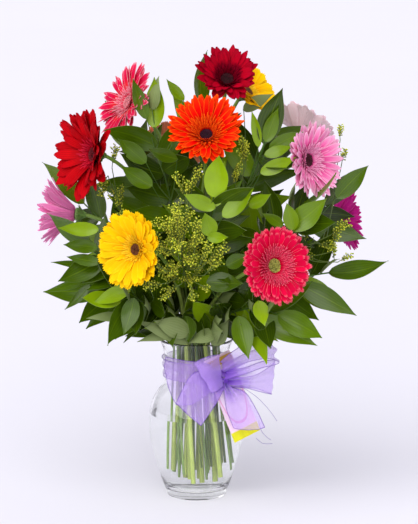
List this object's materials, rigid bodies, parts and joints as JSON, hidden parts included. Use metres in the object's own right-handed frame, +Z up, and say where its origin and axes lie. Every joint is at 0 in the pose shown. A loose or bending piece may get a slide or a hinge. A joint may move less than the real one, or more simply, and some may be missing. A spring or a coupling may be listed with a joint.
{
  "type": "gerberas in a vase",
  "caption": "Mixed gerberas with ruscus leaves and solidago sprays standing in water in a clear glass urn vase, tied at the neck with an organza ribbon and bow.",
  "frame": {"origin": "centre of the vase's flat underside", "axes": "+Z up along the vase's axis; -Y is the front, where the bow is; +X to the right seen from the front"},
  "size_m": [0.4496, 0.3557, 0.5942],
  "materials": {
    "glass": "gloss",
    "water": "gloss",
    "organza": "satin",
    "sachet_film": "satin",
    "petals_dark_red": "satin",
    "petals_yellow": "satin",
    "petals_orange": "satin",
    "petals_rose": "satin",
    "petals_red": "satin",
    "petals_magenta": "satin",
    "petals_hot_pink": "satin",
    "petals_light_pink": "satin",
    "petals_coral": "satin",
    "disc_dark": "matte",
    "disc_green": "matte",
    "disc_pale": "matte",
    "gerbera_green": "satin",
    "ruscus_green": "satin",
    "solidago_yellow": "matte"
  },
  "bodies": {
    "root": {"gerbera_coral_back_disc": "disc_dark", "gerbera_coral_back_petals": "petals_coral", "gerbera_coral_back_stem": "gerbera_green", "gerbera_dark_red_disc": "disc_dark", "gerbera_dark_red_petals": "petals_dark_red", "gerbera_dark_red_stem": "gerbera_green", "gerbera_hot_pink_disc": "disc_green", "gerbera_hot_pink_petals": "petals_hot_pink", "gerbera_hot_pink_stem": "gerbera_green", "gerbera_light_pink_back_disc": "disc_dark", "gerbera_light_pink_back_petals": "petals_light_pink", "gerbera_light_pink_back_stem": "gerbera_green", "gerbera_light_pink_disc": "disc_dark", "gerbera_light_pink_petals": "petals_light_pink", "gerbera_light_pink_stem": "gerbera_green", "gerbera_magenta_left_disc": "disc_dark", "gerbera_magenta_left_petals": "petals_magenta", "gerbera_magenta_left_stem": "gerbera_green", "gerbera_magenta_right_disc": "disc_dark", "gerbera_magenta_right_petals": "petals_magenta", "gerbera_magenta_right_stem": "gerbera_green", "gerbera_orange_disc": "disc_dark", "gerbera_orange_petals": "petals_orange", "gerbera_orange_stem": "gerbera_green", "gerbera_red_disc": "disc_dark", "gerbera_red_petals": "petals_red", "gerbera_red_stem": "gerbera_green", "gerbera_rose_white_disc": "disc_pale", "gerbera_rose_white_petals": "petals_rose", "gerbera_rose_white_stem": "gerbera_green", "gerbera_yellow_back_disc": "disc_dark", "gerbera_yellow_back_petals": "petals_yellow", "gerbera_yellow_back_stem": "gerbera_green", "gerbera_yellow_front_disc": "disc_dark", "gerbera_yellow_front_petals": "petals_yellow", "gerbera_yellow_front_stem": "gerbera_green", "ribbon_band": "organza", "ribbon_bow": "organza", "ruscus_back_left": "ruscus_green", "ruscus_back_right": "ruscus_green", "ruscus_centre": "ruscus_green", "ruscus_far_left": "ruscus_green", "ruscus_far_right": "ruscus_green", "ruscus_front_left": "ruscus_green", "ruscus_left_back": "ruscus_green", "ruscus_left_low": "ruscus_green", "ruscus_lower_left": "ruscus_green", "ruscus_lower_right": "ruscus_green", "ruscus_right_low": "ruscus_green", "ruscus_right_mid": "ruscus_green", "ruscus_top": "ruscus_green", "ruscus_upper_left": "ruscus_green", "ruscus_upper_right": "ruscus_green", "sachet": "sachet_film", "solidago_front": "solidago_yellow", "solidago_left": "solidago_yellow", "solidago_middle": "solidago_yellow", "solidago_right": "solidago_yellow", "vase": "glass", "water": "water"}
  },
  "joints": []
}
